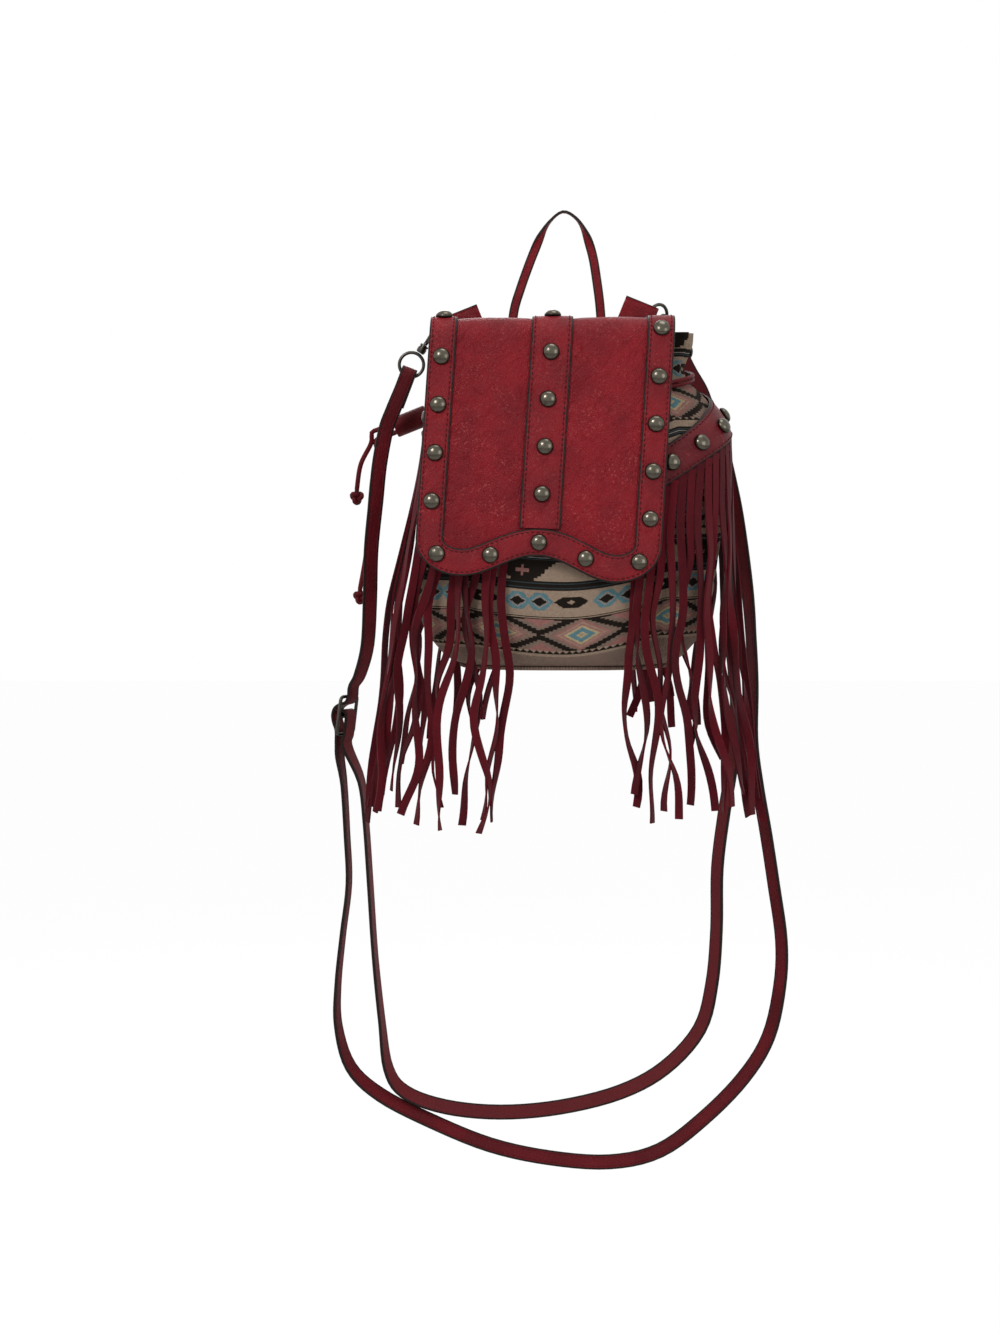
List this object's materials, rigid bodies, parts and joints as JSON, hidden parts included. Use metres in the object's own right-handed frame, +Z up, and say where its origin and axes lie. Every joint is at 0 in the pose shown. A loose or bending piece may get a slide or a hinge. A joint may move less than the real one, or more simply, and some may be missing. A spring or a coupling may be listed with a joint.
{
  "type": "fringed bag",
  "caption": "Small drawstring backpack with a woven geometric body, a studded red flap, long suede fringe on both sides, a hang loop and a clip-on shoulder strap.",
  "frame": {"origin": "inside top of the hang loop, where the bag hangs, in the plane of the loop", "axes": "+Z up, -Y the front with the flap, +X the bag's side at the right of its front view"},
  "size_m": [0.3059, 0.1615, 0.6317],
  "materials": {
    "tapestry": "woven geometric pattern",
    "lining_cloth": "plain weave",
    "red_leather": "grained imitation leather with dark painted edges",
    "red_suede": "napped suede",
    "pewter": "antique plated",
    "gunmetal": "dark plated"
  },
  "bodies": {
    "bag": {"body_shell": "tapestry", "lining": "lining_cloth", "base_panel": "tapestry", "snap_socket": "gunmetal", "band_left": "red_leather", "band_right": "red_leather", "band_stud_left_1": "pewter", "band_stud_left_2": "pewter", "band_stud_left_3": "pewter", "band_stud_right_1": "pewter", "band_stud_right_2": "pewter", "band_stud_right_3": "pewter", "fringe_left": "red_suede", "fringe_right": "red_suede", "back_yoke": "red_leather", "hang_loop": "red_leather", "tab_left": "red_leather", "tab_right": "red_leather", "ring_left": "gunmetal", "hook_left": "gunmetal", "barrel_left": "gunmetal", "eye_left": "gunmetal", "ring_right": "gunmetal", "hook_right": "gunmetal", "barrel_right": "gunmetal", "eye_right": "gunmetal", "drawstring": "red_leather", "shoulder_strap": "red_leather", "slider_buckle": "gunmetal", "drawstring_end_long": "red_leather", "drawstring_end_short": "red_leather", "knot_long": "red_leather", "knot_short": "red_leather"},
    "flap": {"flap_panel": "red_leather", "flap_border": "red_leather", "flap_centre_strip": "red_leather", "snap_plate": "gunmetal", "stud_left_1": "pewter", "stud_left_2": "pewter", "stud_left_3": "pewter", "stud_left_4": "pewter", "stud_left_5": "pewter", "stud_right_1": "pewter", "stud_right_2": "pewter", "stud_right_3": "pewter", "stud_right_4": "pewter", "stud_right_5": "pewter", "stud_centre_1": "pewter", "stud_centre_2": "pewter", "stud_centre_3": "pewter", "stud_centre_4": "pewter", "stud_centre_5": "pewter", "stud_bottom_centre": "pewter", "stud_bottom_left": "pewter", "stud_bottom_right": "pewter", "stud_corner_left": "pewter", "stud_corner_right": "pewter"},
    "toggle": {"toggle": "red_leather"},
    "gate_left": {"gate_left": "gunmetal"},
    "gate_right": {"gate_right": "gunmetal"}
  },
  "joints": [
    {"name": "flap_hinge", "type": "hinge", "parent": "bag", "child": "flap", "pos_m": [-0.008, -0.002, -0.0718], "axis": [-0.9996, 0, -0.028], "range_deg": [0, 75]},
    {"name": "toggle_slide", "type": "slide", "parent": "bag", "child": "toggle", "axis": [-0.9291, 0, -0.3697], "range_m": [-0.005, 0.006]},
    {"name": "gate_left_hinge", "type": "hinge", "parent": "bag", "child": "gate_left", "pos_m": [-0.08881, 0.01533, -0.08308], "axis": [0.8211, 0, -0.5708], "range_deg": [0, 25], "stiffness_Nm_per_rad": 0.001, "springref_deg": -8.59},
    {"name": "gate_right_hinge", "type": "hinge", "parent": "bag", "child": "gate_right", "pos_m": [0.07305, 0.01888, -0.07704], "axis": [-0.6844, -0.371, -0.6276], "range_deg": [0, 25], "stiffness_Nm_per_rad": 0.001, "springref_deg": -8.59}
  ]
}
